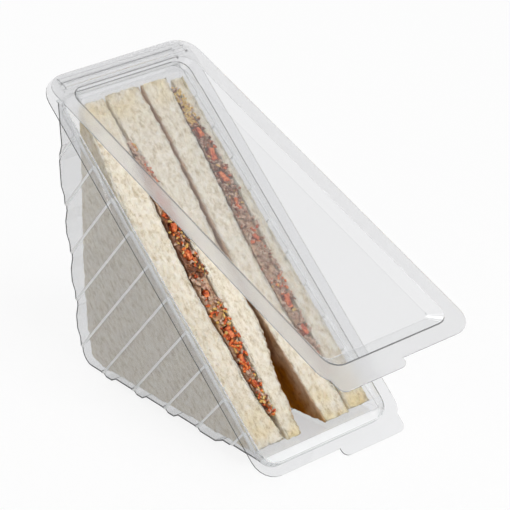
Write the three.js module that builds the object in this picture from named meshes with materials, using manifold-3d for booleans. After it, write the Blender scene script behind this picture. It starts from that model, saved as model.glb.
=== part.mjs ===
// A clear hinged wedge pack that holds two triangle-cut sandwiches, with its lid ajar.
// Millimetres. +X runs across the pack, -Y to its open front and +Z up. The origin lies on the
// surface that the pack stands on, under the middle of its box.
// The tray and the food are drawn in the frame of the slanting rim: u runs down the rim from the
// hinge end, x across it, and n out of the mouth, with n = 0 on the rim's upper face. A point
// (u, x, n) is (x, -u, n) in the group that holds them.
import * as THREE from "three";
import { mergeVertices } from "three/addons/utils/BufferGeometryUtils.js";
import Module from "manifold-3d";

const wasm = await Module();
wasm.setup();
const { degToRad, lerp } = THREE.MathUtils;
const ROOT2 = Math.SQRT2;

// Rim and mouth of the tray
const rimLength = 180; // hinge end to front edge, down the slope
const rimWidth = 72.5;
const rimCorner = 9;
const film = 0.5; // thickness of the formed sheet
const sideFlange = 4.85;
const hingeFlange = 9.4;
const frontFlange = 4.4;
const seatDepth = 4; // straight wall under the rim that the lid plugs into
const seatCorner = 7;
const draft = degToRad(3);

// Walls of the tray
const legSpan = 178.5; // where the outer faces of back and base cross the rim plane
const bodyLedge = 0.4; // step in from the seat to the ribbed body
const keelRadius = 6; // the rounded edge between back and base
const ribPitch = 14.9;
const firstRib = 25.3;
const ribHeight = 1.7;
const ribStep = 0.8; // length of the small step in the sides at each rib
const ribJog = 0.65; // depth of that step
const apexInset = 4.1; // the back wall above its first rib
const apexRise = 5.5; // length of the slope out to that rib
const toeInset = 2.3; // the base beyond its last rib
const toeStart = 157;
const overrun = 8; // how far a rough shape runs past what trims it
const backRidges = 4;
const baseRidges = 4;
const topRidgeSink = 0.3; // the uppermost back ridge stands out a little less
const backRidge = { rise: 3.6, crest: 4, fall: 2.6 };
const baseRidge = { rise: 1.8, crest: 2.8, fall: 2.2 };
const lastCrest = 7; // the foremost ridge is longer than the others

// Finger tabs
const tabReach = 3.8;
const tabLength = 32;
const tabCorner = 3;
const tabInset = 2.2; // from the rim's side edge

// Hinge and lid
const hingeU = 1.2;
const hingeGap = 0.3; // between each sheet's end and the crease
const closedGap = 0.35; // between the two flanges when shut
const hingeN = closedGap / 2; // the crease lies half way between them
const lidReach = 180.3; // crease to front edge
const lidWidth = 71.2;
const lidOffset = 1; // the lid hangs a little to one side
const lidOpening = degToRad(20.7);
const plugClearance = 0.4;
const plugDepth = 3.8;
const plugCorner = 6.5;
const panelCorner = 3.5;
const sideSlope = 3.4; // how far the plug's walls lean in
const hingeSlope = 2.2;
const frontSlope = 6.6;
const beadPitch = 3.1;
const beadStart = 2.9;
const beads = 2;
const beadHeight = 0.7;
const beadTop = 1;
const beadFlank = 0.5;
const beadEnd = 6; // beads stop this far from the lid's side edge
const beadSlack = 0.25; // the lid's beads nest over the tray's with this much room

// Food
const breadGap = 0.35; // clear space around each piece
const faceSink = 0.35; // the cut faces lie this far under the shut lid's panel
const tipHeight = 1.6; // the slices' thin corners are blunt
const keelBlend = 9; // softness of the slices' square corner
const fillingSink = 0.5; // the fillings lie a little under the cut faces
const fillingStop = 5; // and end this far inside the slices' other edges
const fillingEdge = 0.5; // half the thickness that a filling thins out to
const sliceGap = 0.45; // between a sandwich's slices where no filling parts them
const diceSink = 0.05; // how far the cut pieces lie under the cut faces
const nearTaper = 7; // the nearest slice stands this far off the tray's side at the hinge end
const nearTaperEnd = 0.45; // and meets it at this share of its room
// Each slice: how far it starts from the hinge end of its room and stops short of the front end,
// how far its square corner is moved forward, and how far its cut face lies under the highest.
const slices = {
  near_outer: { start: 0.8, end: 0.8, keel: 2.2, drop: 0.3 },
  near_inner: { start: 0.5, end: 0.2, keel: 1.2, drop: 0 },
  far_inner: { start: 0.4, end: 0.2, keel: 0.2, drop: 0.2 },
  far_outer: { start: 1.8, end: 0.9, keel: 1.2, drop: 0.5 },
};

const materials = {
  sheet: { color: 0xdfe6e8, roughness: 0.08, metalness: 0, transparent: true, opacity: 0.35 },
  bread: { color: 0xe8dcc8, roughness: 0.95, metalness: 0 },
  filling: { color: 0xb8917a, roughness: 0.7, metalness: 0 },
  carrot: { color: 0xd9552a, roughness: 0.5, metalness: 0 },
};

/** Turns a closed geometry into a solid that can be joined and cut. */
function solid(geometry) {
  const bare = geometry.index ? geometry.toNonIndexed() : geometry.clone();
  bare.deleteAttribute("normal");
  bare.deleteAttribute("uv");
  const merged = mergeVertices(bare, 1e-4);
  return new wasm.Manifold(
    new wasm.Mesh({
      numProp: 3,
      vertProperties: new Float32Array(merged.attributes.position.array),
      triVerts: new Uint32Array(merged.index.array),
    }),
  );
}

/** Gives a solid back as a named mesh. */
function mesh(name, shape, material) {
  const { numProp, vertProperties, triVerts } = shape.getMesh();
  const points = new Float32Array((vertProperties.length / numProp) * 3);
  for (let i = 0; i < points.length / 3; i++) {
    points.set(vertProperties.subarray(i * numProp, i * numProp + 3), i * 3);
  }
  const geometry = new THREE.BufferGeometry();
  geometry.setAttribute("position", new THREE.BufferAttribute(points, 3));
  geometry.setIndex(new THREE.BufferAttribute(new Uint32Array(triVerts), 1));
  geometry.computeVertexNormals();
  const made = new THREE.Mesh(geometry, new THREE.MeshStandardMaterial(material));
  made.name = name;
  return made;
}

/** Joins solids into one. */
const join = (...shapes) => shapes.reduce((whole, shape) => whole.add(shape));

/** A rectangle with round corners, as points run anticlockwise. */
function roundRect({ left, right, bottom, top, corner }, steps = 6) {
  const centres = [
    [right - corner, top - corner],
    [left + corner, top - corner],
    [left + corner, bottom + corner],
    [right - corner, bottom + corner],
  ];
  return centres.flatMap(([cx, cy], quarter) =>
    Array.from({ length: steps + 1 }, (_, i) => {
      const angle = ((quarter + i / steps) * Math.PI) / 2;
      return new THREE.Vector2(cx + corner * Math.cos(angle), cy + corner * Math.sin(angle));
    }),
  );
}

/** The solid between two outlines with as many points, at two heights. */
function loft(lowerOutline, lowerZ, upperOutline, upperZ) {
  const count = lowerOutline.length;
  const points = [
    ...lowerOutline.map((p) => [p.x, p.y, lowerZ]),
    ...upperOutline.map((p) => [p.x, p.y, upperZ]),
  ];
  const faces = [];
  for (const [a, b, c] of THREE.ShapeUtils.triangulateShape(lowerOutline, [])) {
    faces.push([c, b, a], [a + count, b + count, c + count]);
  }
  for (let i = 0; i < count; i++) {
    const j = (i + 1) % count;
    faces.push([i, j, j + count], [i, j + count, i + count]);
  }
  const geometry = new THREE.BufferGeometry();
  geometry.setAttribute("position", new THREE.Float32BufferAttribute(points.flat(), 3));
  geometry.setIndex(faces.flat());
  return solid(geometry);
}

/** A flat outline raised from one height to another. */
const plate = (outline, from, to) => loft(outline, from, outline, to);

/** A section in (u, n), run anticlockwise, drawn out along x between two places. */
function across(section, from, to) {
  const shape = new THREE.Shape(section.map(([u, n]) => new THREE.Vector2(u, n)));
  const geometry = new THREE.ExtrudeGeometry(shape, { depth: to - from, bevelEnabled: false });
  const axes = new THREE.Matrix4().makeBasis(
    new THREE.Vector3(0, -1, 0),
    new THREE.Vector3(0, 0, 1),
    new THREE.Vector3(-1, 0, 0),
  );
  geometry.applyMatrix4(axes.setPosition(to, 0, 0));
  return solid(geometry);
}

/** A block of a x b x c cells whose points are placed by a function of three shares. */
function block(place, a, b, c) {
  const geometry = new THREE.BoxGeometry(1, 1, 1, a, b, c);
  const position = geometry.attributes.position;
  for (let i = 0; i < position.count; i++) {
    const shares = [position.getX(i), position.getY(i), position.getZ(i)].map((v) => v + 0.5);
    position.setXYZ(i, ...place(...shares));
  }
  return solid(geometry);
}

// The outer faces of back and base, the rounded keel between them, and the mouth that closes them.
// An inset moves every face towards the inside of the tray by the same distance.
const backPoint = (u, depth) => [u + depth / ROOT2, -u + depth / ROOT2];
const basePoint = (u, depth) => [u - depth / ROOT2, u - legSpan + depth / ROOT2];
const ribAt = (index) => firstRib + index * ribPitch;

/** The four points of a ridge as places along the rim and depths under its crest. */
function ridge(start, { rise, crest, fall }) {
  return [
    [start, ribHeight],
    [start + rise, 0],
    [start + rise + crest, 0],
    [start + rise + crest + fall, ribHeight],
  ];
}

function wedgeSection(inset) {
  const back = [];
  back.push([-overrun, apexInset], [firstRib - apexRise, apexInset]);
  for (let k = 0; k < backRidges; k++) {
    const points = ridge(ribAt(k), backRidge);
    back.push(...(k === 0 ? [[ribAt(0), topRidgeSink], ...points.slice(2)] : points));
  }
  const keel = [];
  const centre = [legSpan / 2, -legSpan / 2 + (ribHeight + keelRadius) * ROOT2];
  for (let i = 0; i <= 6; i++) {
    const angle = ((5 + (2 * i) / 6) * Math.PI) / 4;
    const reach = keelRadius - inset;
    keel.push([centre[0] + reach * Math.cos(angle), centre[1] + reach * Math.sin(angle)]);
  }
  const base = [];
  for (let k = 0; k < baseRidges; k++) {
    const last = k === baseRidges - 1;
    const shape = last ? { ...baseRidge, crest: lastCrest } : baseRidge;
    const points = ridge(ribAt(backRidges + 1 + k), shape);
    base.push(...(last ? [...points.slice(0, 3), [toeStart, toeInset]] : points));
  }
  base.push([legSpan + overrun, toeInset]);
  return [
    ...back.map(([u, depth]) => backPoint(u, depth + inset)),
    ...keel,
    ...base.map(([u, depth]) => basePoint(u, depth + inset)),
  ];
}

/** Seen down n, the body's sides step in at each rib and lean out between ribs. */
function sideOutline(halfWidth) {
  const side = [[halfWidth, -ribPitch]];
  for (let k = -1; ribAt(k) < rimLength; k++) {
    side.push([halfWidth, ribAt(k) - ribStep], [halfWidth - ribJog, ribAt(k)]);
  }
  side.push([halfWidth, ribAt(Math.ceil((rimLength - firstRib) / ribPitch)) + ribPitch]);
  const right = side.map(([x, u]) => new THREE.Vector2(x, -u));
  const left = side.map(([x, u]) => new THREE.Vector2(-x, -u));
  return [...left, ...right.reverse()];
}

/** The ribbed wedge under the seat, all of its faces moved in by the inset. */
function wedge(inset) {
  const deep = legSpan / 2 + overrun;
  const halfWidth = rimWidth / 2 - sideFlange - bodyLedge - inset;
  const narrowed = halfWidth - deep * Math.tan(draft);
  const sides = loft(sideOutline(narrowed), -deep, sideOutline(halfWidth), 0);
  const section = across(wedgeSection(inset), -rimWidth, rimWidth);
  const below = plate(
    roundRect({ left: -rimWidth, right: rimWidth, bottom: -2 * rimLength, top: rimLength, corner: 1 }),
    -deep,
    -seatDepth + film,
  );
  return sides.intersect(section).intersect(below);
}

/** The mouth's outline, moved in by the inset. */
const mouth = (inset) =>
  roundRect({
    left: -rimWidth / 2 + sideFlange + inset,
    right: rimWidth / 2 - sideFlange - inset,
    bottom: -rimLength + frontFlange + inset,
    top: -hingeFlange - inset,
    corner: seatCorner - inset,
  });

/** A tab that reaches past a front edge, on one half of it. */
function tab(side, edge, halfWidth, from, to) {
  const outer = side * (halfWidth - tabInset);
  const inner = side * (halfWidth - tabInset - tabLength);
  return plate(
    roundRect({
      left: Math.min(outer, inner),
      right: Math.max(outer, inner),
      bottom: -edge - tabReach,
      top: -edge + rimCorner,
      corner: tabCorner,
    }),
    from,
    to,
  );
}

/** Beads across a sheet: a row of ridges, grown all round by the extra. */
function beadRow(start, level, reach, extra) {
  const rows = Array.from({ length: beads }, (_, k) => {
    const middle = start + k * beadPitch + beadTop / 2 + beadFlank;
    const foot = beadTop / 2 + beadFlank + extra;
    const head = beadTop / 2 + extra;
    const section = [
      [middle - foot, level],
      [middle + foot, level],
      [middle + head, level + beadHeight],
      [middle - head, level + beadHeight],
    ];
    return across(section, -reach, reach);
  });
  return join(...rows);
}

function makeTray() {
  const half = rimWidth / 2;
  const rim = roundRect({
    left: -half,
    right: half,
    bottom: -rimLength,
    top: -hingeU - hingeGap,
    corner: rimCorner,
  });
  const beadReach = lidWidth / 2 - beadEnd - Math.abs(lidOffset) - beadSlack;
  const start = hingeU + beadStart;
  const flange = join(
    plate(rim, -film, 0),
    tab(1, rimLength, half, -film, 0),
    beadRow(start, 0, beadReach, 0),
  ).subtract(beadRow(start, -film, beadReach - film, -film / 2));
  const seat = plate(mouth(0), -seatDepth, -film / 2);
  const pocket = plate(mouth(film), -seatDepth + film, 1);
  return join(flange, seat, wedge(0)).subtract(pocket).subtract(wedge(film));
}

function makeLid() {
  const half = lidWidth / 2;
  const under = closedGap - hingeN;
  const over = under + film;
  const sheet = join(
    plate(
      roundRect({ left: -half, right: half, bottom: -lidReach, top: -hingeGap, corner: rimCorner }),
      under,
      over,
    ),
    tab(-1, lidReach, half, under, over),
    beadRow(beadStart, over, half - beadEnd + film, beadSlack + film),
  ).subtract(beadRow(beadStart, under, half - beadEnd, beadSlack));
  const plugSide = rimWidth / 2 - sideFlange - film - plugClearance - Math.abs(lidOffset);
  const plugBack = hingeFlange + film + plugClearance - hingeU;
  const plugFront = rimLength - frontFlange - film - plugClearance - hingeU;
  const plug = (inset) =>
    roundRect({
      left: -plugSide + inset,
      right: plugSide - inset,
      bottom: -plugFront + inset,
      top: -plugBack - inset,
      corner: plugCorner - inset,
    });
  const panel = (inset) =>
    roundRect({
      left: -plugSide + sideSlope + inset,
      right: plugSide - sideSlope - inset,
      bottom: -plugFront + frontSlope + inset,
      top: -plugBack - hingeSlope - inset,
      corner: panelCorner - inset,
    });
  const pan = loft(panel(0), under - plugDepth, plug(0), under);
  const hollow = loft(panel(film), over - plugDepth, plug(film), over);
  const above = plate(plug(film), over, over + 1);
  return join(sheet, pan).subtract(join(hollow, above));
}

// The shut lid's panel sets how high the food may stand.
const faceLevel = closedGap - plugDepth - faceSink;
const innerSide = rimWidth / 2 - sideFlange - bodyLedge - film - ribJog - breadGap;
// u + n of the rearmost place for food, and u - n of the face that it stands on
const apexLine = (apexInset + film + breadGap) * ROOT2;
const baseLine = legSpan - (Math.max(ribHeight, toeInset) + film + breadGap) * ROOT2;

/** The tray's sides close in with depth, and the food with them. */
const squeeze = (n) => 1 - ((faceLevel - n) * Math.tan(draft)) / innerSide;

/** How far a slice may reach to the side near the mouth's round front corners. */
function sideLimit(u) {
  const end = rimLength - frontFlange - film - breadGap;
  const into = Math.max(0, seatCorner - (end - u));
  return innerSide - (seatCorner - Math.sqrt(Math.max(0, seatCorner ** 2 - into ** 2)));
}

const bump = (u, from, to) => {
  const share = (u - from) / (to - from);
  return share <= 0 || share >= 1 ? 0 : Math.sin(share * Math.PI) ** 0.7;
};

// The food's room along the rim. Places down it are shares of its length, and places across it
// are shares of its half width, so that the food fills the tray.
const roomFrom = apexLine - faceLevel + tipHeight;
const roomTo = baseLine + faceLevel - tipHeight;
const shareOf = (u) => (u - roomFrom) / (roomTo - roomFrom);

/** A line down the food through knots of [share down, share across], eased between them. */
function lineThrough(knots) {
  const inner = knots.slice(1, -1);
  return (u) => {
    const share = shareOf(u);
    const i = inner.filter(([down]) => down < share).length;
    const [[from, here], [to, there]] = knots.slice(i, i + 2);
    return lerp(here, there, THREE.MathUtils.smoothstep(share, from, to)) * innerSide;
  };
}

// Each filling: its middle line, how thick it is and between which shares, and how far it starts
// and stops inside its slice's ends.
const sandwiches = {
  near: {
    middle: lineThrough([[0.11, -0.32], [0.72, -0.45], [0.86, -0.49], [1, -0.48]]),
    thick: 7.3,
    thickFrom: 0.13,
    thickTo: 0.96,
    head: 21,
    tail: 10.5,
  },
  far: {
    middle: lineThrough([[0.21, 0.763], [0.69, 0.627]]),
    thick: 7.3,
    thickFrom: 0,
    thickTo: 0.93,
    head: 4.3,
    tail: 16,
  },
};
const spreadOf = ({ thick, thickFrom, thickTo }, u) =>
  sliceGap + thick * bump(shareOf(u), thickFrom, thickTo);
const nearGapSide = lineThrough([[0.05, 0.27], [0.68, 0.08], [0.88, -0.13], [1, -0.23]]);
const farGapSide = lineThrough([[0.05, 0.287], [0.68, 0.13], [0.88, 0.155], [1, 0.18]]);

/** A slice's hinge end, front end and square corner as places along the rim. */
function placesOf({ start, end, keel, drop }) {
  const tip = faceLevel - drop - tipHeight;
  return { from: apexLine - tip + start, to: baseLine + tip - end, corner: legSpan / 2 + keel };
}

/** Level of a slice's back or base face under a place on the rim. */
function legLevel(u, shape) {
  const { from, corner } = placesOf(shape);
  const tip = faceLevel - shape.drop - tipHeight;
  const back = lerp(tip, corner - baseLine, (u - from) / (corner - from));
  const base = u - baseLine;
  const blend = THREE.MathUtils.clamp(0.5 + (back - base) / (2 * keelBlend), 0, 1);
  return lerp(base, back, blend) + keelBlend * blend * (1 - blend);
}

function makeSlice(shape, left, right) {
  const { from, to } = placesOf(shape);
  const place = (a, b, c) => {
    const u = lerp(from, to, a);
    const top = faceLevel - shape.drop;
    const low = Math.min(legLevel(u, shape), top - tipHeight);
    const n = lerp(low, top, c);
    return [lerp(left(u), right(u), b) * squeeze(n), -u, n];
  };
  return block(place, 22, 1, 6);
}

function makeFilling(sandwich, shape) {
  const ends = placesOf(shape);
  const place = (a, b, c) => {
    const u = lerp(ends.from + sandwich.head, ends.to - sandwich.tail, a);
    const top = faceLevel - shape.drop - fillingSink;
    const low = Math.min(legLevel(u, shape) + fillingStop, top - tipHeight);
    const n = lerp(low, top, c);
    const half = Math.max(fillingEdge, spreadOf(sandwich, u) / 2 - breadGap);
    return [(sandwich.middle(u) + lerp(-half, half, b)) * squeeze(n), -u, n];
  };
  return block(place, 24, 2, 5);
}

/** A cut piece in a filling: its share down the room, its way off the middle, and its sizes. */
function dice({ share, off, long, wide, deep, turn }, sandwich, extra) {
  const geometry = new THREE.BoxGeometry(wide + extra, long + extra, deep + extra);
  geometry.rotateZ(degToRad(turn));
  const u = lerp(roomFrom, roomTo, share);
  const n = faceLevel - diceSink - deep / 2;
  geometry.translate((sandwich.middle(u) + off) * squeeze(n), -u, n);
  return solid(geometry);
}

const dicePieces = {
  near: [
    { share: 0.317, off: 0.2, long: 5, wide: 2.4, deep: 3, turn: 12 },
    { share: 0.394, off: -0.3, long: 4.4, wide: 2.6, deep: 3, turn: -15 },
    { share: 0.471, off: 0.4, long: 5, wide: 2.8, deep: 3.4, turn: 12 },
    { share: 0.58, off: -0.6, long: 3.8, wide: 2.4, deep: 3, turn: -25 },
    { share: 0.695, off: 0.5, long: 5.4, wide: 3, deep: 3.6, turn: 8 },
    { share: 0.765, off: -0.3, long: 4.2, wide: 2.4, deep: 3, turn: -18 },
    { share: 0.836, off: 0.2, long: 4, wide: 2, deep: 2.8, turn: 14 },
    { share: 0.893, off: 0, long: 3.4, wide: 1.3, deep: 2.4, turn: 4 },
  ],
  far: [
    { share: 0.177, off: 0, long: 5, wide: 2.6, deep: 3.2, turn: 8 },
    { share: 0.247, off: 0.2, long: 6, wide: 3, deep: 3.4, turn: -10 },
    { share: 0.311, off: -0.5, long: 6, wide: 2.8, deep: 3.6, turn: 6 },
    { share: 0.394, off: -0.7, long: 4.6, wide: 2, deep: 3, turn: 3 },
    { share: 0.49, off: 0.8, long: 3.8, wide: 2.2, deep: 3, turn: 24 },
    { share: 0.676, off: 0.2, long: 6.4, wide: 2.8, deep: 3.6, turn: -12 },
    { share: 0.759, off: 0.1, long: 5, wide: 2.6, deep: 3.2, turn: 9 },
    { share: 0.829, off: -0.1, long: 3.6, wide: 1.6, deep: 2.8, turn: -8 },
  ],
};

/** The outer face of the nearest slice. */
const nearSide = (u) =>
  nearTaper * (1 - THREE.MathUtils.smoothstep(shareOf(u), 0, nearTaperEnd)) - sideLimit(u);

/** Each side's two slices, its filling and the pieces in it. */
function makeFood(side) {
  const sandwich = sandwiches[side];
  const nearer = (u) => sandwich.middle(u) - spreadOf(sandwich, u) / 2;
  const farther = (u) => sandwich.middle(u) + spreadOf(sandwich, u) / 2;
  const near = side === "near";
  const names = near ? ["near_outer", "near_inner"] : ["far_inner", "far_outer"];
  const shapes = names.map((name) => slices[name]);
  const outerEdges = near ? [nearSide, nearGapSide] : [farGapSide, sideLimit];
  const pieces = dicePieces[side];
  const pockets = pieces.map((piece) => dice(piece, sandwich, 2 * breadGap));
  const filling = makeFilling(sandwich, shapes[near ? 0 : 1]).subtract(join(...pockets));
  return [
    mesh(`bread_slice_${names[0]}`, makeSlice(shapes[0], outerEdges[0], nearer), materials.bread),
    mesh(`bread_slice_${names[1]}`, makeSlice(shapes[1], farther, outerEdges[1]), materials.bread),
    mesh(`filling_${side}`, filling, materials.filling),
    ...pieces.map((piece, i) =>
      mesh(`carrot_piece_${side}_${i + 1}`, dice(piece, sandwich, 0), materials.carrot),
    ),
  ];
}

// The pack stands on its first base ridge and the lower edge of the tray's tab.
const ridgeFoot = basePoint(ribAt(backRidges + 1) + baseRidge.rise, 0);
const tabFoot = [rimLength + tabReach, -film];
const depthOf = ([u, n]) => (u - n) / ROOT2;
const advanceOf = ([u, n]) => (u + n) / ROOT2;
const lean = Math.atan2(
  depthOf(tabFoot) - depthOf(ridgeFoot),
  advanceOf(tabFoot) - advanceOf(ridgeFoot),
);

const rimFrame = new THREE.Group();
rimFrame.rotation.x = Math.PI / 4 - lean;
rimFrame.add(mesh("tray", makeTray(), materials.sheet), ...makeFood("near"), ...makeFood("far"));

const lidFrame = new THREE.Group();
lidFrame.position.set(lidOffset, -hingeU, hingeN);
lidFrame.rotation.x = -lidOpening;
lidFrame.add(mesh("lid", makeLid(), materials.sheet));
rimFrame.add(lidFrame);

const pack = new THREE.Group();
pack.add(rimFrame);
pack.updateMatrixWorld(true);
const box = new THREE.Box3().setFromObject(pack, true);
const middleOfBox = box.getCenter(new THREE.Vector3());
rimFrame.position.set(-middleOfBox.x, -middleOfBox.y, -box.min.z);

export default pack;
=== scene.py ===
"""Looks of a clear wedge pack with two triangle-cut sandwiches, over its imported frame.

Metres, in the row frame. The rim's own frame is used for places on the tray and the food: u runs
down the rim from the hinge end, x across it and n out of the mouth.
"""

import logging
import math
from dataclasses import dataclass, field
from enum import Enum
from functools import partial
from typing import Any, Callable, Dict, List, Optional, Sequence, Tuple

import bmesh
import bpy
import numpy as np
from mathutils import Matrix, Vector, noise


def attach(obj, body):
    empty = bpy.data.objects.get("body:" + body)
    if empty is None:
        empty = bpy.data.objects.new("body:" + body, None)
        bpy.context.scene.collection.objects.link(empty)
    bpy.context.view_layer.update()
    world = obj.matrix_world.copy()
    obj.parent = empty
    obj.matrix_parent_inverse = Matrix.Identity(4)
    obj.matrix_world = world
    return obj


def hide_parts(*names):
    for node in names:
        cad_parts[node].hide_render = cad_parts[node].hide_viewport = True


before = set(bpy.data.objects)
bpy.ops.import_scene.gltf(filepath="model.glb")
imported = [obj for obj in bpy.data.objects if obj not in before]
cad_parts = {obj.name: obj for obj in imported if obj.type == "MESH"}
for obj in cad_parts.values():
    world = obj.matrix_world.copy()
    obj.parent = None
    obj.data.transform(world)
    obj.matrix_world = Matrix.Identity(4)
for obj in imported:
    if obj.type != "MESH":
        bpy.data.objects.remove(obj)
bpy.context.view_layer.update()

log = logging.getLogger("wedge_pack")

MM = 0.001

Colour = Tuple[float, float, float, float]
Nodes = bpy.types.ShaderNodeTree

WHITE: Colour = (1.0, 1.0, 1.0, 1.0)

# A colour mix node has its two colours in these sockets, and its result in this output.
MIX_FIRST, MIX_SECOND, MIX_RESULT = 6, 7, 2

# The rim's frame: how far the rim slopes, and where its hinge end lies in the row frame.
LEAN = math.radians(42.90562737915863)
RIM_ORIGIN = Vector((-0.000175, 0.08622874, 0.12549596))
RIM_TURN = Matrix.Rotation(LEAN, 3, "X")
RIM_TURN_BACK = RIM_TURN.transposed()


def to_rim(place: Vector) -> Vector:
    """Gives a place in the rim's frame.

    Args:
        place: a point in the row frame, in metres.

    Returns:
        Its x, minus u and n, in metres.
    """
    return RIM_TURN_BACK @ (place - RIM_ORIGIN)


class Sandwich(Enum):
    """The two sandwiches, by where they lie across the pack."""

    NEAR = "near"
    FAR = "far"


def linear(code: str) -> Colour:
    """Turns an sRGB hex value into a linear colour.

    Args:
        code: six hex digits after a hash sign.

    Returns:
        Linear red, green, blue and an alpha of 1.
    """
    parts = [int(code[i : i + 2], 16) / 255 for i in (1, 3, 5)]
    flat = [v / 12.92 if v <= 0.04045 else ((v + 0.055) / 1.055) ** 2.4 for v in parts]
    return (flat[0], flat[1], flat[2], 1.0)


def add(
    tree: Nodes,
    kind: str,
    settings: Optional[Dict[str, Any]] = None,
    values: Optional[Dict[Any, Any]] = None,
    links: Optional[Dict[Any, Any]] = None,
) -> bpy.types.Node:
    """Adds a node with its settings, its socket values and its incoming links.

    Args:
        tree: the material's node tree.
        kind: the node's type name.
        settings: attributes of the node itself.
        values: input sockets by name or place, with what they are set to.
        links: input sockets by name or place, with the output socket to link from.

    Returns:
        The new node.
    """
    node = tree.nodes.new(kind)
    for name, value in (settings or {}).items():
        setattr(node, name, value)
    for socket, value in (values or {}).items():
        node.inputs[socket].default_value = value
    for socket, source in (links or {}).items():
        tree.links.new(source, node.inputs[socket])
    return node


def ramp(tree: Nodes, factor: Any, stops: Sequence[Tuple[float, str]]) -> Any:
    """Adds a colour ramp.

    Args:
        tree: the material's node tree.
        factor: the output socket that drives it.
        stops: places and hex colours.

    Returns:
        The ramp's colour output.
    """
    node = add(tree, "ShaderNodeValToRGB", links={"Fac": factor})
    elements = node.color_ramp.elements
    elements[0].position, elements[1].position = stops[0][0], stops[-1][0]
    for place, _ in stops[1:-1]:
        elements.new(place)
    for element, (_, code) in zip(elements, stops):
        element.color = linear(code)
    return node.outputs["Color"]


def new_material(name: str) -> Tuple[bpy.types.Material, Nodes, Any]:
    """Makes an empty node material.

    Args:
        name: the material's name.

    Returns:
        The material, its tree and its object coordinates, in metres.
    """
    material = bpy.data.materials.new(name)
    material.use_nodes = True
    tree = material.node_tree
    tree.nodes.clear()
    place = add(tree, "ShaderNodeTexCoord").outputs["Object"]
    return material, tree, place


def grain(tree: Nodes, place: Any, size_mm: float, detail: float = 3, rough: float = 0.6) -> Any:
    """Adds noise whose grains are of a real size.

    Args:
        tree: the material's node tree.
        place: the coordinates, in metres.
        size_mm: size of a grain.
        detail: octaves.
        rough: how strong the finer octaves are.

    Returns:
        The noise's value output.
    """
    values = {"Scale": 1 / (size_mm * MM), "Detail": detail, "Roughness": rough}
    return add(tree, "ShaderNodeTexNoise", values=values, links={"Vector": place}).outputs["Fac"]


def tinted(tree: Nodes, colour: Any, mark: str, shade: str) -> Any:
    """Multiplies a colour by a shade, where a mark on the mesh says so.

    Args:
        tree: the material's node tree.
        colour: the output socket of the colour.
        mark: the mesh attribute that says how much of the shade there is, from 0 to 1.
        shade: the shade's hex colour.

    Returns:
        The tinted colour's output.
    """
    share = add(tree, "ShaderNodeAttribute", {"attribute_name": mark}).outputs["Fac"]
    mixed = add(
        tree,
        "ShaderNodeMix",
        {"data_type": "RGBA", "blend_type": "MULTIPLY"},
        {MIX_SECOND: linear(shade)},
        {"Factor": share, MIX_FIRST: colour},
    )
    return mixed.outputs[MIX_RESULT]


def bumped(tree: Nodes, height: Any, strength: float, depth_mm: float) -> Any:
    """Adds a bump of a real depth.

    Args:
        tree: the material's node tree.
        height: the output socket of the height.
        strength: how much of the bump shows, from 0 to 1.
        depth_mm: how deep a height of 1 is.

    Returns:
        The bent normal's output.
    """
    values = {"Strength": strength, "Distance": depth_mm * MM}
    return add(tree, "ShaderNodeBump", values=values, links={"Height": height}).outputs["Normal"]


def principled(tree: Nodes, values: Dict[str, Any], links: Dict[str, Any]) -> Any:
    """Adds a principled shader with its values and links, and returns its output."""
    return add(tree, "ShaderNodeBsdfPrincipled", values=values, links=links).outputs["BSDF"]


def mixed_shaders(tree: Nodes, share: Any, first: Any, second: Any) -> Any:
    """Mixes two shaders.

    Args:
        tree: the material's node tree.
        share: the output socket that says how much of the second there is.
        first: the first shader's output.
        second: the second shader's output.

    Returns:
        The mixed shader's output.
    """
    links = {"Fac": share, 1: first, 2: second}
    return add(tree, "ShaderNodeMixShader", links=links).outputs["Shader"]


def show(tree: Nodes, shader: Any) -> None:
    """Links a shader to the material's output."""
    add(tree, "ShaderNodeOutputMaterial", links={"Surface": shader})


@dataclass(frozen=True)
class ClearFilm:
    """Thermoformed PET sheet: clear and glossy, grey where it is seen edge on."""

    name: str = "pet_sheet_thermoformed"
    face: str = "#F0F0F1"
    middle: str = "#E2E3E4"
    edge: str = "#CDD0D1"
    middle_at: float = 0.55
    facing_blend: float = 0.42
    shadow: str = "#EDEFEF"
    milk: float = 0.0
    ior: float = 1.575
    roughness: float = 0.035
    ripple_mm: float = 9.0
    ripple_deep_mm: float = 0.4
    ripple: float = 0.06

    def build(self) -> bpy.types.Material:
        """Builds the material: gloss over clear film, with the soft ripple that forming leaves.

        Returns:
            The material.
        """
        material, tree, place = new_material(self.name)
        weight = add(tree, "ShaderNodeLayerWeight", values={"Blend": self.facing_blend})
        stops = [(0.0, self.face), (self.middle_at, self.middle), (1.0, self.edge)]
        tint = ramp(tree, weight.outputs["Facing"], stops)
        ripples = grain(tree, place, self.ripple_mm, detail=1)
        normal = bumped(tree, ripples, self.ripple, self.ripple_deep_mm)
        film = principled(
            tree,
            {
                "Roughness": self.roughness,
                "IOR": self.ior,
                "Transmission Weight": 1.0 - self.milk,
            },
            {"Base Color": tint, "Normal": normal},
        )
        # A shadow ray passes straight, so that the lamps reach the food through the film.
        shadow_ray = add(tree, "ShaderNodeLightPath").outputs["Is Shadow Ray"]
        values = {"Color": linear(self.shadow)}
        open_way = add(tree, "ShaderNodeBsdfTransparent", values=values).outputs["BSDF"]
        show(tree, mixed_shaders(tree, shadow_ray, film, open_way))
        return material


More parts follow.
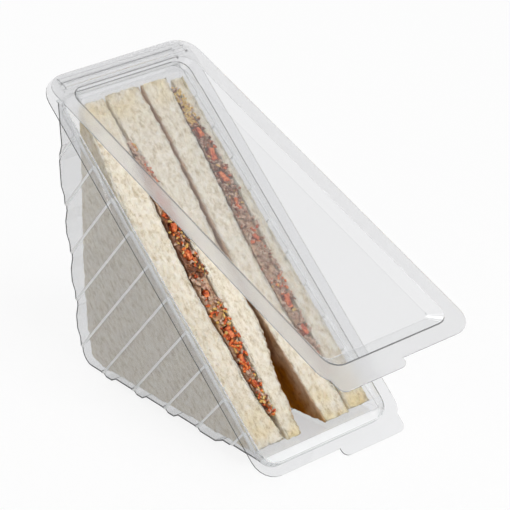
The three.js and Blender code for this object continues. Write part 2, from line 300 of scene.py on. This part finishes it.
@dataclass(frozen=True)
class BreadCrumb:
    """White bread, baked, then cut with a knife that drags the soft crumb along the cut.

    It shows as pale matt fibres a millimetre or two wide, with shallow pores between them, which
    get painted shade.
    """

    name: str = "white_bread_crumb_sliced"
    light: str = "#F4ECDE"
    body: str = "#E8DDCA"
    pore_shade: str = "#CCBCA2"
    tan: str = "#B07210"
    butter: str = "#FBEFC8"
    fibre_mm: float = 1.7
    fibre_stretch: float = 2.0
    fine_mm: float = 0.5
    fine_share: float = 0.25

    def build(self) -> bpy.types.Material:
        """Builds the material: cream fibres with painted shade in the low pores, painted shade in
        the gap, and yellower where it is buttered.

        Returns:
            The material.
        """
        material, tree, place = new_material(self.name)
        along = add(
            tree,
            "ShaderNodeMapping",
            {"vector_type": "TEXTURE"},
            {"Rotation": (LEAN, 0.0, 0.0), "Scale": (1.0, self.fibre_stretch, 1.0)},
            {"Vector": place},
        ).outputs["Vector"]
        fibres = grain(tree, along, self.fibre_mm, detail=5, rough=0.68)
        fine = grain(tree, place, self.fine_mm, detail=2)
        torn = add(
            tree,
            "ShaderNodeMath",
            {"operation": "MULTIPLY_ADD"},
            {1: self.fine_share},
            {0: fine, 2: fibres},
        ).outputs["Value"]
        # The ramp follows the bump's height, so painted shade darkens the low pores and the raised
        # fibres are paler.
        stops = [(0.46, self.pore_shade), (0.6, self.body), (0.76, self.light)]
        colour = ramp(tree, torn, stops)
        # Painted shade in the gap between the sandwiches: golden brown, darker deeper down.
        colour = tinted(tree, colour, "gap_painted_shade", self.tan)
        colour = tinted(tree, colour, "buttered", self.butter)
        crumb = principled(
            tree,
            {
                "Roughness": 0.94,
                "IOR": 1.4,
                "Specular IOR Level": 0.15,
                "Subsurface Weight": 0.35,
                "Subsurface Scale": 2.2 * MM,
                "Subsurface Radius": (1.0, 0.82, 0.55),
            },
            {"Base Color": colour, "Normal": bumped(tree, torn, 1.0, depth_mm=1.0)},
        )
        show(tree, crumb)
        return material


@dataclass(frozen=True)
class FlakedFilling:
    """Fish and meat flaked and bound with dressing.

    It is moist and grainy, tan and pink, with darker flakes and yellow dressing in places.
    """

    name: str = "flaked_filling_dressed"
    stops: Tuple[Tuple[float, str], ...] = (
        (0.34, "#7A4E34"),
        (0.43, "#B48C70"),
        (0.53, "#CEAA8C"),
        (0.66, "#E0C6AA"),
    )
    brown: str = "#8E5534"
    yellow: str = "#D9AE52"
    patch_mm: float = 1.9
    flake_mm: float = 0.9

    def build(self) -> bpy.types.Material:
        """Builds the material: patches about two millimetres wide, each another part of the mix.

        Returns:
            The material.
        """
        material, tree, place = new_material(self.name)
        patches = grain(tree, place, self.patch_mm, detail=4, rough=0.75)
        colour = ramp(tree, patches, list(self.stops))
        colour = tinted(tree, colour, "browned", self.brown)
        colour = tinted(tree, colour, "dressed", self.yellow)
        flakes = grain(tree, place, self.flake_mm, detail=3, rough=0.6)
        shine = add(
            tree,
            "ShaderNodeMapRange",
            values={"From Min": 0.35, "From Max": 0.65, "To Min": 0.28, "To Max": 0.7},
            links={"Value": flakes},
        )
        mix = principled(
            tree,
            {"IOR": 1.4, "Subsurface Weight": 0.1, "Subsurface Scale": 1.0 * MM},
            {
                "Base Color": colour,
                "Roughness": shine.outputs["Result"],
                "Normal": bumped(tree, flakes, 0.9, depth_mm=0.8),
            },
        )
        show(tree, mix)
        return material


@dataclass(frozen=True)
class CookedCarrot:
    """Cooked carrot, diced or grated: wet and orange-red, darker and paler in places."""

    name: str = "cooked_carrot_diced"
    deep: str = "#C24A20"
    bright: str = "#E58A50"
    dark: str = "#7E2A14"
    patch_mm: float = 1.3

    def build(self) -> bpy.types.Material:
        """Builds the material: three reds that change over about a millimetre, with a wet skin.

        Returns:
            The material.
        """
        material, tree, place = new_material(self.name)
        patches = grain(tree, place, self.patch_mm, detail=4, rough=0.7)
        stops = [(0.36, self.dark), (0.46, self.deep), (0.6, self.bright)]
        colour = ramp(tree, patches, stops)
        flesh = principled(
            tree,
            {
                "Roughness": 0.34,
                "IOR": 1.38,
                "Subsurface Weight": 0.1,
                "Subsurface Scale": 1.0 * MM,
                "Subsurface Radius": (1.0, 0.45, 0.25),
            },
            {"Base Color": colour, "Normal": bumped(tree, patches, 0.4, depth_mm=0.3)},
        )
        show(tree, flesh)
        return material


def share_between(value: float, start: float, end: float) -> float:
    """Tells how far a value has come from a start to an end, from 0 to 1."""
    return min(1.0, max(0.0, (value - start) / (end - start)))


def wave(place: Vector, size_mm: float) -> float:
    """Gives a smooth chance value, about -1 to 1, that changes over a size in millimetres."""
    return noise.noise(place / (size_mm * MM))


def half_wave(place: Vector, size_mm: float) -> float:
    """Gives the same chance value, but about 0 to 1."""
    return wave(place, size_mm) * 0.5 + 0.5


def copy_of(node: str, name: str) -> bpy.types.Object:
    """Copies a frame node's mesh into an object of its own.

    Args:
        node: the frame node.
        name: the new object's name.

    Returns:
        The new object, linked to the scene.
    """
    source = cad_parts[node]
    data = source.data.copy()
    data.transform(source.matrix_world)
    data.materials.clear()
    made = bpy.data.objects.new(name, data)
    bpy.context.scene.collection.objects.link(made)
    return made


def rim_points(node: str) -> np.ndarray:
    """Gives the points of a frame node in the rim's frame, one to a row, in metres."""
    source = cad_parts[node]
    return np.array([to_rim(source.matrix_world @ v.co) for v in source.data.vertices])


def settle(piece: bpy.types.Object) -> None:
    """Applies a piece's modifiers to its mesh."""
    graph = bpy.context.evaluated_depsgraph_get()
    baked = bpy.data.meshes.new_from_object(piece.evaluated_get(graph))
    piece.modifiers.clear()
    piece.data = baked


def remesh(piece: bpy.types.Object, voxel_mm: float) -> None:
    """Turns a piece's mesh into even cells, so that it can be shaped finely.

    Args:
        piece: the object.
        voxel_mm: the size of a cell.
    """
    cells = piece.modifiers.new("even_cells", "REMESH")
    cells.mode = "VOXEL"
    cells.voxel_size = voxel_mm * MM
    settle(piece)


def press_in(piece: bpy.types.Object, depth: Callable[[Vector, Vector], float]) -> None:
    """Moves each point of a piece inwards along its normal.

    Args:
        piece: the object.
        depth: how far a point is moved in, in metres, from its place and normal.
    """
    mesh = piece.data
    normals = [v.normal.copy() for v in mesh.vertices]
    for vertex, normal in zip(mesh.vertices, normals):
        vertex.co -= normal * max(0.0, depth(vertex.co, normal))
    mesh.update()


def smooth(piece: bpy.types.Object, angle_deg: float) -> None:
    """Shades a piece smooth, with edges sharper than an angle left crisp.

    Args:
        piece: the object.
        angle_deg: the angle between two faces from which their edge stays sharp.
    """
    piece.data.shade_smooth()
    piece.data.set_sharp_from_angle(angle=math.radians(angle_deg))


def finish_piece(
    piece: bpy.types.Object,
    material: bpy.types.Material,
    body: str,
    stands_for: str,
) -> None:
    """Dresses a piece and ties it to the frame.

    Args:
        piece: the object.
        material: its material.
        body: the frame body that it rides on.
        stands_for: the frame node that it replaces.
    """
    piece.data.materials.clear()
    piece.data.materials.append(material)
    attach(piece, body)
    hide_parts(stands_for)
    log.info("%s: %d faces on body %s", piece.name, len(piece.data.polygons), body)


@dataclass
class FilmShells:
    """The two clear shells: the ribbed tray and the lid with its sunken panel."""

    crease_angle: float = 48.0
    rib_slant: Tuple[float, float] = (0.45, 0.75)
    rib_side: float = 0.5
    ledge_flat: float = 0.9
    ledge_mm: Tuple[float, float] = (-4.7, -3.3)
    below_seat_mm: float = -3.0
    flat_share: float = 0.98
    flange_mm: float = 2.0
    film: ClearFilm = field(default_factory=ClearFilm)
    # Painted highlight: milky white film on the tray's rib and ledge steps, where light catches
    # them.
    step_highlight: ClearFilm = field(
        default_factory=lambda: ClearFilm(
            name="pet_sheet_step_painted_highlight",
            face="#FFFFFF",
            middle="#FAFAFA",
            edge="#F0F0F0",
            roughness=0.3,
            milk=0.62,
        )
    )
    frosted: ClearFilm = field(
        default_factory=lambda: ClearFilm(
            name="pet_sheet_flange_sealing_face",
            face="#ECECED",
            middle="#E6E6E7",
            edge="#D6D7D8",
            roughness=0.16,
            milk=0.2,
        )
    )

    def is_step(self, normal: Vector, centre: Vector) -> bool:
        """Tells a small forming step, which gets a painted highlight in white film.

        Args:
            normal: a face's normal in the rim frame.
            centre: its middle in the rim frame, in metres.

        Returns:
            True on the rib steps of the sides and on the ledge under the seat.
        """
        least, most = self.rib_slant
        level = centre.z / MM
        rib = least < abs(normal.y) < most and abs(normal.x) > self.rib_side
        lowest, highest = self.ledge_mm
        ledge = abs(normal.z) > self.ledge_flat and lowest < level < highest
        return level < self.below_seat_mm and (rib or ledge)

    def build(self) -> None:
        """Makes both shells, with the painted highlight on the tray's steps and the lid's sealing
        flange.
        """
        clear = self.film.build()
        # Each shell's frame node has the same name as the body that it rides on.
        for node in ("tray", "lid"):
            shell = copy_of(node, f"{node}_film")
            smooth(shell, self.crease_angle)
            finish_piece(shell, clear, node, node)
            if node == "tray":
                self.paint_step_highlights(shell)
            else:
                self.frost(shell)

    def paint_step_highlights(self, shell: bpy.types.Object) -> None:
        """Paints a highlight on the tray's forming steps, as milky white film.

        Args:
            shell: the tray's film.
        """
        shell.data.materials.append(self.step_highlight.build())
        for face in shell.data.polygons:
            if self.is_step(RIM_TURN_BACK @ face.normal, to_rim(face.center)):
                face.material_index = 1

    def frost(self, shell: bpy.types.Object) -> None:
        """Gives the lid's flat flange the faint bloom of a sealing face.

        Args:
            shell: the lid's film.
        """
        shell.data.materials.append(self.frosted.build())
        panel = max(shell.data.polygons, key=lambda face: face.area).normal
        up = panel if panel.z > 0 else -panel
        top = max(up @ vertex.co for vertex in shell.data.vertices)
        for face in shell.data.polygons:
            flat = abs(face.normal @ up) > self.flat_share
            if flat and top - up @ face.center < self.flange_mm * MM:
                face.material_index = 1


@dataclass
class BreadSlices:
    """Four slices of crustless white bread, cut corner to corner."""

    names: Tuple[str, ...] = ("near_outer", "near_inner", "far_inner", "far_outer")
    voxel_mm: float = 0.65
    soft_mm: float = 0.6
    soft_wave_mm: float = 11.0
    tuft_mm: float = 1.76
    tuft_wave_mm: float = 1.8
    tuft_stretch: float = 2.0
    fine_mm: float = 0.3
    fine_wave_mm: float = 1.05
    torn_mm: float = 1.5
    torn_wave_mm: float = 2.4
    torn_level: float = 0.55
    torn_swing: float = 0.9
    side_calm: float = 0.7
    side_turn: Tuple[float, float] = (0.75, 0.95)
    lip_calm: float = 0.4
    lip_gain: float = 4.0
    gap_turn: float = 0.4
    gap_top_mm: float = -3.8
    gap_begun_mm: float = -5.3
    gap_deep_mm: float = -15.0
    # Painted shade in the gap: its strength at the top, how much more lower down, and how patchy
    # it is.
    shade_top: float = 0.75
    shade_deeper: float = 0.45
    shade_patchy: float = 0.15
    blotch_wave_mm: float = 7.0
    butter: float = 0.8
    butter_stain: Tuple[float, float] = (-0.35, 0.45)
    butter_front_mm: Tuple[float, float] = (146.0, 166.0)
    butter_rear_mm: Tuple[float, float] = (34.0, 14.0)
    crumb: BreadCrumb = field(default_factory=BreadCrumb)

    def depth(self, place: Vector, normal: Vector, filled: float) -> float:
        """How deep the crumb is torn at a place: soft hollows, dragged tufts and ragged edges.

        Args:
            place: a point, in metres.
            normal: the way that the surface faces there.
            filled: 1 where the filling lies at the slice's greater x, -1 at the lesser.

        Returns:
            The depth, in metres.
        """
        spot = to_rim(place)
        dragged = Vector((spot.x, spot.y / self.tuft_stretch, spot.z))
        crumb = self.soft_mm * half_wave(place, self.soft_wave_mm)
        crumb += self.tuft_mm * abs(wave(dragged, self.tuft_wave_mm))
        crumb += self.fine_mm * half_wave(place, self.fine_wave_mm)
        turned = RIM_TURN_BACK @ normal
        calm = 1.0 - self.side_calm * share_between(abs(turned.x), *self.side_turn)
        # The lip of a cut face is where its normal leans from the mouth to a side.
        lip = min(1.0, self.lip_gain * max(0.0, turned.z) * abs(turned.x))
        lip *= self.lip_calm if turned.x * filled > 0 else 1.0
        ragged = wave(place, self.torn_wave_mm) * self.torn_swing + self.torn_level
        return (crumb * calm + self.torn_mm * lip * ragged) * MM

    def mark(self, piece: bpy.types.Object, side: float) -> None:
        """Marks where painted shade darkens the crumb in the gap, more deeply lower down, and
        where it is yellow with butter.

        Args:
            piece: the slice.
            side: 1 where the gap lies at its greater x, -1 at the lesser, 0 where there is none.
        """
        gap_painted_shade = piece.data.attributes.new("gap_painted_shade", "FLOAT", "POINT").data
        buttered = piece.data.attributes.new("buttered", "FLOAT", "POINT").data
        for index, vertex in enumerate(piece.data.vertices):
            spot = to_rim(vertex.co) / MM
            blotch = wave(vertex.co, self.blotch_wave_mm)
            facing = share_between((RIM_TURN_BACK @ vertex.normal).x * side, 0.0, self.gap_turn)
            begun = share_between(spot.z, self.gap_top_mm, self.gap_begun_mm)
            deep = share_between(spot.z, self.gap_top_mm, self.gap_deep_mm)
            # Painted shade: stronger deeper in the gap.
            shade = self.shade_top + self.shade_deeper * deep
            shade *= 1.0 - self.shade_patchy + self.shade_patchy * blotch
            gap_painted_shade[index].value = min(1.0, facing * begun * shade)
            front = share_between(-spot.y, *self.butter_front_mm)
            rear = share_between(-spot.y, *self.butter_rear_mm)
            spread = self.butter * max(front, rear)
            buttered[index].value = spread * share_between(blotch, *self.butter_stain)

    @staticmethod
    def gap_side(name: str) -> float:
        """Gives the side of a slice that lines the gap: 1, -1, or 0 for an outer slice."""
        if not name.endswith("inner"):
            return 0.0
        return 1.0 if name.startswith("near") else -1.0

    @staticmethod
    def filled_side(name: str) -> float:
        """Gives the side of a slice that the filling lies on: 1 or -1."""
        return 1.0 if name in ("near_outer", "far_inner") else -1.0

    def build(self) -> None:
        """Makes each slice from its frame solid."""
        material = self.crumb.build()
        for name in self.names:
            node = f"bread_slice_{name}"
            piece = copy_of(node, f"{node}_crumb")
            remesh(piece, self.voxel_mm)
            # The marks come first, while the faces are still flat.
            self.mark(piece, self.gap_side(name))
            press_in(piece, partial(self.depth, filled=self.filled_side(name)))
            smooth(piece, 180)
            finish_piece(piece, material, "tray", node)


@dataclass(frozen=True)
class Stretch:
    """A stretch of a filling's cut face, and what mostly shows there.

    The start is a share of the filling's length, from the hinge end. Flake, meat, carrot and
    dressing are shares of the shreds, and browned and dressed tint what lies under them.
    """

    start: float
    flake: float
    meat: float
    carrot: float
    dressing: float
    browned: float = 0.0
    dressed: float = 0.0

    def shares(self) -> Tuple[float, float, float, float]:
        """The shares of the four kinds of shred, in the order of FillingShreds.shades."""
        return self.flake, self.meat, self.carrot, self.dressing


STRETCHES: Dict[Sandwich, Tuple[Stretch, ...]] = {
    Sandwich.NEAR: (
        Stretch(0.00, 0.75, 0.05, 0.05, 0.15),
        Stretch(0.10, 0.45, 0.15, 0.30, 0.10, browned=0.15),
        Stretch(0.28, 0.20, 0.45, 0.20, 0.15, browned=0.75),
        Stretch(0.50, 0.82, 0.14, 0.04, 0.00, browned=0.1),
        Stretch(0.60, 0.30, 0.10, 0.30, 0.30, dressed=0.5),
        Stretch(0.68, 0.15, 0.05, 0.70, 0.10, browned=0.2),
        Stretch(0.84, 0.25, 0.20, 0.35, 0.20, browned=0.2),
    ),
    Sandwich.FAR: (
        Stretch(0.00, 0.20, 0.05, 0.00, 0.75, dressed=0.9),
        Stretch(0.13, 0.35, 0.60, 0.00, 0.05, browned=0.6),
        Stretch(0.19, 0.35, 0.40, 0.15, 0.10, browned=0.5),
        Stretch(0.42, 0.70, 0.25, 0.03, 0.02, browned=0.1),
        Stretch(0.50, 0.70, 0.05, 0.25, 0.00),
        Stretch(0.57, 0.86, 0.12, 0.02, 0.00),
        Stretch(0.66, 0.60, 0.06, 0.30, 0.04),
        Stretch(0.73, 0.86, 0.10, 0.03, 0.01),
    ),
}


def stretch_at(side: Sandwich, share: float) -> Stretch:
    """Gives the stretch of a filling that holds a share of its length."""
    begun = [stretch for stretch in STRETCHES[side] if stretch.start <= share]
    return begun[-1] if begun else STRETCHES[side][0]


def length_span(node: str) -> Tuple[float, float]:
    """Gives where a frame node starts and ends down the rim, in metres."""
    places = -rim_points(node)[:, 1]
    return places.min(), places.max()


@dataclass
class Fillings:
    """Two layers of flaked filling, one in each sandwich."""

    voxel_mm: float = 0.55
    depth_mm: float = 0.8
    lump_wave_mm: float = 3.0
    lump_share: float = 0.6
    flake_wave_mm: float = 1.25
    wander: float = 0.03
    mix: FlakedFilling = field(default_factory=FlakedFilling)

    def depth(self, place: Vector, _: Vector) -> float:
        """How far a flake lies under the layer's outline at a place, in metres."""
        lump = half_wave(place, self.lump_wave_mm)
        flake = half_wave(place, self.flake_wave_mm)
        return self.depth_mm * (self.lump_share * lump + (1 - self.lump_share) * flake) * MM

    def mark(self, piece: bpy.types.Object, side: Sandwich) -> None:
        """Marks where a layer is browned and where dressing shows, stretch by stretch.

        Args:
            piece: the layer.
            side: the sandwich that it is in.
        """
        browned = piece.data.attributes.new("browned", "FLOAT", "POINT").data
        dressed = piece.data.attributes.new("dressed", "FLOAT", "POINT").data
        start, end = length_span(f"filling_{side.value}")
        for index, vertex in enumerate(piece.data.vertices):
            share = (-to_rim(vertex.co).y - start) / (end - start)
            share += self.wander * wave(vertex.co, self.lump_wave_mm)
            stretch = stretch_at(side, share)
            browned[index].value = stretch.browned
            dressed[index].value = stretch.dressed

    def build(self) -> None:
        """Makes each layer from its frame solid."""
        material = self.mix.build()
        for side in Sandwich:
            node = f"filling_{side.value}"
            piece = copy_of(node, f"{node}_flakes")
            remesh(piece, self.voxel_mm)
            press_in(piece, self.depth)
            self.mark(piece, side)
            smooth(piece, 180)
            finish_piece(piece, material, "tray", node)


@dataclass
class CarrotDice:
    """Sixteen pieces of cooked carrot that show in the cut faces."""

    each_side: int = 8
    round_mm: float = 0.8
    worn_mm: float = 0.9
    worn_wave_mm: float = 2.4
    worn_level: float = 0.45
    voxel_mm: float = 0.3
    flesh: CookedCarrot = field(default_factory=CookedCarrot)

    def build(self) -> None:
        """Makes each piece from its frame solid, with worn corners."""
        material = self.flesh.build()
        for side in Sandwich:
            for number in range(1, self.each_side + 1):
                self.one(f"carrot_piece_{side.value}_{number}", material)

    def depth(self, place: Vector, _: Vector) -> float:
        """How far a dice's skin is worn in at a place, in metres."""
        return self.worn_mm * MM * (wave(place, self.worn_wave_mm) + self.worn_level)

    def one(self, node: str, material: bpy.types.Material) -> None:
        """Makes one piece.

        Args:
            node: the frame node that it stands for.
            material: the carrot's material.
        """
        piece = copy_of(node, f"{node}_flesh")
        edge = piece.modifiers.new("worn_edges", "BEVEL")
        edge.width = self.round_mm * MM
        edge.segments = 2
        edge.limit_method = "ANGLE"
        settle(piece)
        remesh(piece, self.voxel_mm)
        press_in(piece, self.depth)
        smooth(piece, 180)
        finish_piece(piece, material, "tray", node)


@dataclass(frozen=True)
class FacePatch:
    """A rectangle in a cut face: its middle and half its size, in metres.

    x runs across the rim and u down it.
    """

    x: float
    u: float
    half_x: float
    half_u: float

    def holds(self, x: float, u: float, share: float) -> bool:
        """Tells whether a place lies in the patch.

        Args:
            x: the place across the rim.
            u: the place down the rim.
            share: how much of the patch's size counts, about its middle.

        Returns:
            True where it does.
        """
        return abs(x - self.x) < share * self.half_x and abs(u - self.u) < share * self.half_u


@dataclass
class FillingShreds:
    """Small flakes and shreds that lie in each filling's cut face."""

    each_side: int = 620
    seed: int = 11
    level_mm: float = -3.5
    spill_mm: float = 0.5
    bare_share: float = 0.9
    least_mm: Tuple[float, float, float] = (0.9, 0.7, 0.5)
    most_mm: Tuple[float, float, float] = (2.3, 1.4, 1.0)
    sunk_mm: Tuple[float, float] = (0.3, 1.1)
    tilt: float = 0.35
    lumpy: float = 0.45
    lump_waves: float = 1.6
    lump_shift: float = 9.0
    face_band_mm: float = 0.2
    row_band_mm: float = 0.5

    def shades(self) -> List[bpy.types.Material]:
        """Builds the four kinds of shred, in the order of a stretch's shares.

        The fish is pale pink and moist, the meat is browned and dark, the grated carrot is
        orange-red and wet, and the dressing has set in yellow drops.

        Returns:
            The four materials.
        """
        pink = ((0.35, "#A8806A"), (0.5, "#C6A28C"), (0.65, "#DCC2AE"), (0.8, "#CFAE98"))
        dark = ((0.35, "#5E3018"), (0.5, "#8A5232"), (0.65, "#A8724A"), (0.8, "#74401F"))
        sauce = ((0.35, "#C89A48"), (0.5, "#DDB264"), (0.65, "#EAD09A"), (0.8, "#CFA04C"))
        return [
            FlakedFilling("tuna_flake_moist", pink).build(),
            FlakedFilling("meat_shred_browned", dark).build(),
            CookedCarrot("cooked_carrot_grated", "#C24A1C", "#E8843F").build(),
            FlakedFilling("dressing_drop_set", sauce).build(),
        ]

    def edges(self, node: str) -> Tuple[np.ndarray, np.ndarray, np.ndarray]:
        """Reads a filling's cut face off its frame solid.

        Args:
            node: the filling's frame node.

        Returns:
            Places down the rim and the two edges there, in metres.
        """
        points = rim_points(node)
        face = points[points[:, 2] > points[:, 2].max() - self.face_band_mm * MM]
        places = np.unique(np.round(-face[:, 1], 4))
        rows = [face[np.abs(-face[:, 1] - u) < self.row_band_mm * MM][:, 0] for u in places]
        low = np.array([row.min() for row in rows])
        high = np.array([row.max() for row in rows])
        return places, low, high

    def dice_patches(self, side: Sandwich) -> List[FacePatch]:
        """Gives the patch of the cut face that each carrot dice takes up."""
        patches = []
        for number in range(1, CarrotDice.each_side + 1):
            points = rim_points(f"carrot_piece_{side.value}_{number}")
            low, high = points.min(axis=0), points.max(axis=0)
            half = (high - low) / 2
            patches.append(FacePatch(low[0] + half[0], -(low[1] + half[1]), half[0], half[1]))
        return patches

    def shred(
        self,
        mesh: bmesh.types.BMesh,
        draw: np.random.Generator,
        x: float,
        u: float,
        kind: int,
    ) -> None:
        """Adds one shred to a mesh.

        Args:
            mesh: the mesh that grows.
            draw: the seeded source of chance.
            x: its place across, in metres.
            u: its place down the rim, in metres.
            kind: its material's place in the list.
        """
        sizes = draw.uniform(self.least_mm, self.most_mm) * MM / 2
        before = len(mesh.faces)
        made = bmesh.ops.create_icosphere(mesh, subdivisions=2, radius=1.0)["verts"]
        turn = Matrix.Rotation(draw.uniform(0, math.pi), 3, "Z")
        tilt = Matrix.Rotation(draw.normal(0, self.tilt), 3, "X")
        level = self.level_mm * MM
        middle = Vector((x, -u, level - draw.uniform(*self.sunk_mm) * MM))
        shift = Vector(draw.uniform(-self.lump_shift, self.lump_shift, 3))
        for vertex in made:
            lump = 1 + self.lumpy * noise.noise(vertex.co * self.lump_waves + shift)
            local = Vector([c * size * lump for c, size in zip(vertex.co, sizes)])
            place = middle + turn @ (tilt @ local)
            place.z = min(place.z, level)
            vertex.co = RIM_TURN @ place + RIM_ORIGIN
        mesh.faces.ensure_lookup_table()
        for face in mesh.faces[before:]:
            face.material_index = kind
            face.smooth = True

    def scatter(self, mesh: bmesh.types.BMesh, side: Sandwich) -> int:
        """Scatters one filling's shreds, less those that would cover a dice.

        Args:
            mesh: the mesh that grows.
            side: the sandwich that the filling is in.

        Returns:
            How many shreds it made.
        """
        draw = np.random.default_rng(self.seed + list(Sandwich).index(side))
        places, low, high = self.edges(f"filling_{side.value}")
        dice = self.dice_patches(side)
        spill = self.spill_mm * MM
        made = 0
        for _ in range(self.each_side):
            u = draw.uniform(places[0], places[-1])
            left, right = np.interp(u, places, low), np.interp(u, places, high)
            x = draw.uniform(left - spill, right + spill)
            share = (u - places[0]) / (places[-1] - places[0])
            shares = stretch_at(side, share).shares()
            kind = int(draw.choice(len(shares), p=np.array(shares) / sum(shares)))
            if not any(patch.holds(x, u, self.bare_share) for patch in dice):
                self.shred(mesh, draw, x, u, kind)
                made += 1
        return made

    def build(self) -> None:
        """Makes the shreds of both fillings, each side's in one piece."""
        kinds = self.shades()
        for side in Sandwich:
            name = f"filling_{side.value}_shreds"
            mesh = bmesh.new()
            made = self.scatter(mesh, side)
            data = bpy.data.meshes.new(name)
            mesh.to_mesh(data)
            mesh.free()
            piece = bpy.data.objects.new(name, data)
            bpy.context.scene.collection.objects.link(piece)
            for material in kinds:
                data.materials.append(material)
            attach(piece, "tray")
            log.info("%s: %d shreds of %d drawn", piece.name, made, self.each_side)


def seen_ray(tree: Nodes) -> Any:
    """Adds a value of 1 for rays from the camera, a gloss or a clear film, and 0 for the rest.

    Args:
        tree: the node tree.

    Returns:
        The value's output.
    """
    ray = add(tree, "ShaderNodeLightPath")
    seen = ray.outputs["Is Camera Ray"]
    for name in ("Is Glossy Ray", "Is Transmission Ray"):
        links = {0: seen, 1: ray.outputs[name]}
        seen = add(tree, "ShaderNodeMath", {"operation": "MAXIMUM"}, links=links).outputs["Value"]
    return seen


@dataclass(frozen=True)
class SoftLamp:
    """A square soft lamp that faces the pack: its place and side in metres, and its power."""

    name: str
    place: Tuple[float, float, float]
    size: float
    watts: float
    aim: Tuple[float, float, float] = (0.0, 0.0, 0.06)

    def hang(self) -> None:
        """Hangs the lamp."""
        data = bpy.data.lights.new(self.name, "AREA")
        data.size = self.size
        data.energy = self.watts
        lamp = bpy.data.objects.new(self.name, data)
        lamp.location = self.place
        way = Vector(self.aim) - Vector(self.place)
        lamp.rotation_euler = way.to_track_quat("-Z", "Y").to_euler()
        bpy.context.scene.collection.objects.link(lamp)


@dataclass
class Studio:
    """White floor and background, soft lamps and the camera at the photograph's place."""

    camera_place: Tuple[float, float, float] = (-0.53114, -0.6369, 0.46634)
    camera_turn_deg: Tuple[float, float, float] = (64.3911, 1.1088, -40.3433)
    lens_mm: float = 170.56
    sensor_mm: float = 36.0
    lamps: Tuple[SoftLamp, ...] = (
        SoftLamp("key_lamp", (0.1, -0.9, 1.3), 0.8, 9),
        SoftLamp("fill_lamp", (-1.2, -0.6, 0.7), 0.9, 2),
        SoftLamp("rim_lamp", (0.3, 1.2, 1.0), 0.7, 5),
    )
    sky_light: float = 0.5
    sky_seen: float = 1.0
    floor_side: float = 6.0
    floor_drop_mm: float = 0.5
    floor_glow: float = 0.86
    floor_paper: str = "#F8F8F8"

    def camera(self) -> None:
        """Puts the camera where the photograph was solved to be taken from."""
        data = bpy.data.cameras.new("photo_camera")
        data.lens = self.lens_mm
        data.sensor_width = self.sensor_mm
        data.sensor_fit = "HORIZONTAL"
        data.clip_start = 0.05
        data.clip_end = 20
        camera = bpy.data.objects.new("photo_camera", data)
        camera.location = self.camera_place
        camera.rotation_euler = [math.radians(v) for v in self.camera_turn_deg]
        bpy.context.scene.collection.objects.link(camera)
        bpy.context.scene.camera = camera

    def white_world(self) -> None:
        """Lights the object from all round, and shows plain white behind it."""
        world = bpy.data.worlds.new("white_studio")
        bpy.context.scene.world = world
        world.use_nodes = True
        tree = world.node_tree
        tree.nodes.clear()
        strength = add(
            tree,
            "ShaderNodeMapRange",
            values={"To Min": self.sky_light, "To Max": self.sky_seen},
            links={"Value": seen_ray(tree)},
        )
        sky = add(
            tree,
            "ShaderNodeBackground",
            values={"Color": WHITE},
            links={"Strength": strength.outputs["Result"]},
        )
        add(tree, "ShaderNodeOutputWorld", links={"Surface": sky.outputs["Background"]})

    def floor(self) -> None:
        """Lays a white floor that keeps the pack's soft shadow."""
        place = (0, 0, -self.floor_drop_mm * MM)
        bpy.ops.mesh.primitive_plane_add(size=self.floor_side, location=place)
        ground = bpy.context.object
        ground.name = "white_floor"
        material, tree, _ = new_material("white_floor_paper")
        share = add(
            tree,
            "ShaderNodeMath",
            {"operation": "MULTIPLY"},
            {1: self.floor_glow},
            {0: seen_ray(tree)},
        ).outputs["Value"]
        values = {"Color": linear(self.floor_paper)}
        paper = add(tree, "ShaderNodeBsdfDiffuse", values=values).outputs["BSDF"]
        values = {"Color": WHITE, "Strength": 1.0}
        glow = add(tree, "ShaderNodeEmission", values=values).outputs["Emission"]
        show(tree, mixed_shaders(tree, share, paper, glow))
        ground.data.materials.append(material)

    def build(self) -> None:
        """Sets up the whole studio."""
        self.camera()
        self.white_world()
        self.floor()
        for lamp in self.lamps:
            lamp.hang()
        bpy.context.scene.view_settings.view_transform = "Standard"


def main() -> None:
    """Builds the studio and every piece."""
    logging.basicConfig(level=logging.INFO, format="%(name)s: %(message)s")
    Studio().build()
    FilmShells().build()
    BreadSlices().build()
    Fillings().build()
    CarrotDice().build()
    FillingShreds().build()


if __name__ == "__main__":
    main()
